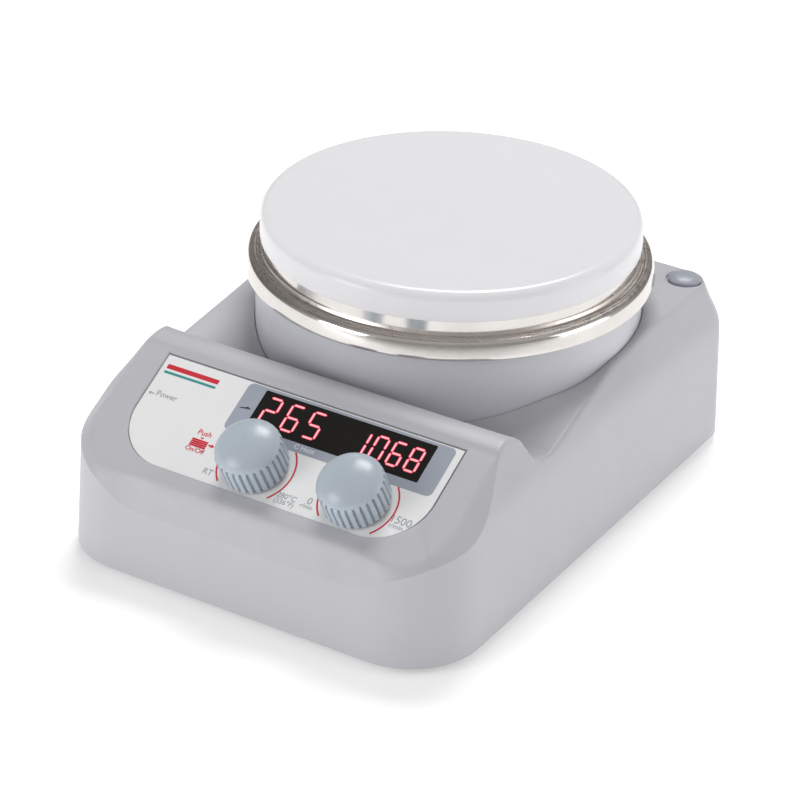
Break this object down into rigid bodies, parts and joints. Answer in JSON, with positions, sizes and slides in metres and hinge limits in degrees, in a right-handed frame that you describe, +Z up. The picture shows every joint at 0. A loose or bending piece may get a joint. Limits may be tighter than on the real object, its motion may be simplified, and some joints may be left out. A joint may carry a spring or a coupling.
{
  "type": "hotplate magnetic stirrer",
  "caption": "Digital hotplate magnetic stirrer: round white plate in a steel ring over a grey housing with a sloped two-knob display panel, stirring drive and heater inside.",
  "frame": {"origin": "middle of the footprint, level with the underside of the rubber feet", "axes": "+X to the right as seen from the front, +Y towards the back (the control panel faces -Y), +Z up"},
  "size_m": [0.1566, 0.2086, 0.1002],
  "materials": {
    "housing_grey": "fine satin moulded grey",
    "bowl_grey": "satin grey coating",
    "panel_white": "off-white printed overlay",
    "surround_blue_grey": "blue-grey printed frame",
    "window_black": "gloss black tinted lens",
    "led_red": "red digit module",
    "knob_blue_grey": "semi-gloss blue-grey",
    "plate_white": "smooth white enamel on aluminium",
    "polished_steel": "polished stainless steel",
    "bright_steel": "turned bright steel",
    "aluminium": "machined aluminium",
    "dark_steel": "dark coated steel",
    "brass": "plain brass",
    "ceramic": "unglazed heat-resistant ceramic",
    "board_green": "green circuit board laminate",
    "black_plastic": "black moulded plastic",
    "rubber": "soft black rubber",
    "fuse_glass": "clear glass tube"
  },
  "bodies": {
    "stirrer_base": {"upper_housing": "housing_grey", "base_plate": "dark_steel", "base_screw_1": "bright_steel", "base_screw_2": "bright_steel", "base_screw_3": "bright_steel", "base_screw_4": "bright_steel", "foot_front_left": "rubber", "foot_front_right": "rubber", "foot_back_left": "rubber", "foot_back_right": "rubber", "control_panel": "panel_white", "display_surround": "surround_blue_grey", "display_window": "window_black", "temperature_display": "led_red", "speed_display": "led_red", "control_board": "board_green", "temperature_encoder": "black_plastic", "speed_encoder": "black_plastic", "plate_bowl": "bowl_grey", "steel_rim": "polished_steel", "work_plate": "plate_white", "heater_plate": "aluminium", "heating_element": "dark_steel", "insulation_disc": "ceramic", "temperature_sensor": "brass", "plate_standoff_1": "ceramic", "plate_standoff_2": "ceramic", "plate_standoff_3": "ceramic", "stirrer_motor": "dark_steel", "motor_bracket": "aluminium", "power_board": "board_green", "transformer": "dark_steel", "heater_relay": "black_plastic", "power_inlet": "black_plastic", "inlet_pin_line": "brass", "inlet_pin_earth": "brass", "inlet_pin_neutral": "brass", "power_switch": "black_plastic", "rod_socket": "aluminium", "probe_socket": "bright_steel", "probe_socket_nut": "bright_steel"},
    "temperature_push": {"temperature_plunger": "black_plastic"},
    "temperature_knob": {"temperature_knob": "knob_blue_grey", "temperature_shaft": "aluminium"},
    "speed_knob": {"speed_knob": "knob_blue_grey", "speed_shaft": "aluminium"},
    "stir_rotor": {"motor_shaft": "bright_steel", "shaft_collar": "brass", "magnet_carrier": "aluminium", "magnet_left": "dark_steel", "magnet_right": "dark_steel"},
    "rod_cap": {"rod_port_cap": "knob_blue_grey"},
    "fuse_drawer": {"fuse_drawer": "black_plastic", "fuse": "fuse_glass"},
    "power_rocker": {"power_rocker": "black_plastic"}
  },
  "joints": [
    {"name": "temperature_push", "type": "slide", "parent": "stirrer_base", "child": "temperature_push", "axis": [0, 0.4868, -0.8735], "range_m": [0, 0.0005], "stiffness_N_per_m": 4000},
    {"name": "temperature_turn", "type": "hinge", "parent": "temperature_push", "child": "temperature_knob", "pos_m": [-0.0057, -0.08358, 0.04827], "axis": [0, 0.4868, -0.8735], "range_deg": [-254, 16]},
    {"name": "speed_turn", "type": "hinge", "parent": "stirrer_base", "child": "speed_knob", "pos_m": [0.0343, -0.08358, 0.04827], "axis": [0, 0.4868, -0.8735], "range_deg": [-192, 78]},
    {"name": "stir_spin", "type": "hinge", "parent": "stirrer_base", "child": "stir_rotor", "pos_m": [0, 0.0309, 0.06], "axis": [0, 0, 1], "continuous": true},
    {"name": "rod_cap_pull", "type": "slide", "parent": "stirrer_base", "child": "rod_cap", "axis": [0, 0, 1], "range_m": [0, 0.012]},
    {"name": "fuse_drawer_pull", "type": "slide", "parent": "stirrer_base", "child": "fuse_drawer", "axis": [0, 1, 0], "range_m": [0, 0.014]},
    {"name": "power_rock", "type": "hinge", "parent": "stirrer_base", "child": "power_rocker", "pos_m": [-0.0735, -0.066, 0.028], "axis": [0, 1, 0], "range_deg": [0, 20]}
  ]
}
